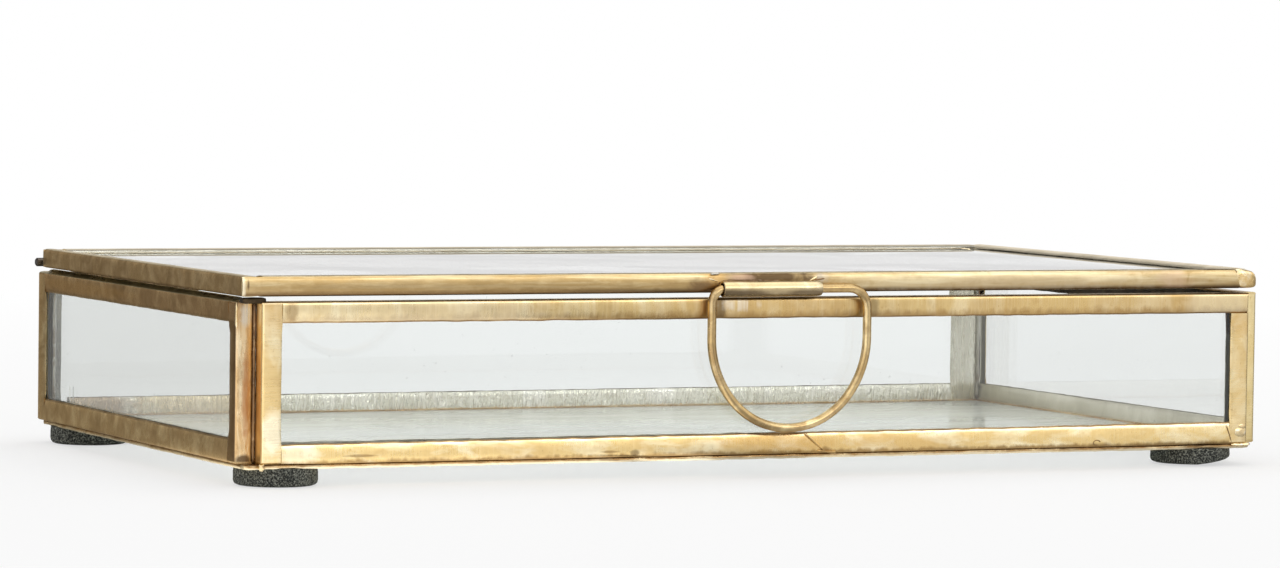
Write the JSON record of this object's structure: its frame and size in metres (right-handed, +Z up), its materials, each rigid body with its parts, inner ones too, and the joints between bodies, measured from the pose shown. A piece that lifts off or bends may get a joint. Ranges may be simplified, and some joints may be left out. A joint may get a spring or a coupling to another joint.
{
  "type": "glass casket box",
  "caption": "Low clear glass keepsake box in folded brass strips, with a hinged glass lid, a swinging wire handle and foam feet.",
  "frame": {"origin": "on the ground under the middle of the whole closed box", "axes": "+X along the box's width to the right as seen from the front, the front with the handle faces -Y, +Z up"},
  "size_m": [0.2528, 0.1422, 0.0452],
  "materials": {
    "clear_glass": "clear, polished",
    "brass_strip": "brushed, lightly tarnished",
    "brass_edging": "thin brown patinated strip",
    "brass_wire": "polished drawn wire",
    "solder": "dull grey solder",
    "dark_wire": "darkened steel wire",
    "foam": "speckled charcoal foam"
  },
  "bodies": {
    "case": {"front_glass": "clear_glass", "front_rail_top": "brass_strip", "front_rail_bottom": "brass_strip", "front_stile_left": "brass_strip", "front_stile_right": "brass_strip", "back_glass": "clear_glass", "back_rail_top": "brass_strip", "back_rail_bottom": "brass_strip", "back_stile_left": "brass_strip", "back_stile_right": "brass_strip", "left_glass": "clear_glass", "left_rail_top": "brass_strip", "left_rail_bottom": "brass_strip", "left_stile_front": "brass_strip", "left_stile_back": "brass_strip", "right_glass": "clear_glass", "right_rail_top": "brass_strip", "right_rail_bottom": "brass_strip", "right_stile_front": "brass_strip", "right_stile_back": "brass_strip", "base_glass": "clear_glass", "base_edging_front": "brass_edging", "base_edging_back": "brass_edging", "base_edging_left": "brass_edging", "base_edging_right": "brass_edging", "base_solder": "solder", "corner_solder_front_left": "solder", "corner_solder_front_right": "solder", "corner_solder_back_left": "solder", "corner_solder_back_right": "solder", "case_knuckle": "brass_wire", "case_knuckle_saddle": "solder", "hinge_pin": "dark_wire", "foot_front_left": "foam", "foot_front_right": "foam", "foot_back_left": "foam", "foot_back_right": "foam"},
    "lid": {"lid_glass": "clear_glass", "lid_rail_front": "brass_strip", "lid_rail_back": "brass_strip", "lid_rail_left": "brass_strip", "lid_rail_right": "brass_strip", "lid_corner_cap": "brass_strip", "lid_knuckle_left": "brass_wire", "lid_knuckle_right": "brass_wire", "lid_knuckle_solder": "solder", "handle_tube": "brass_wire", "handle_tube_solder": "solder"},
    "handle": {"handle_ring": "brass_wire"}
  },
  "joints": [
    {"name": "lid_hinge", "type": "hinge", "parent": "case", "child": "lid", "pos_m": [0, 0.06885, 0.042], "axis": [-1, 0, 0], "range_deg": [0, 150]},
    {"name": "handle_swing", "type": "hinge", "parent": "lid", "child": "handle", "pos_m": [0.0026, -0.06935, 0.0417], "axis": [-1, 0, 0], "range_deg": [-1, 190]}
  ]
}
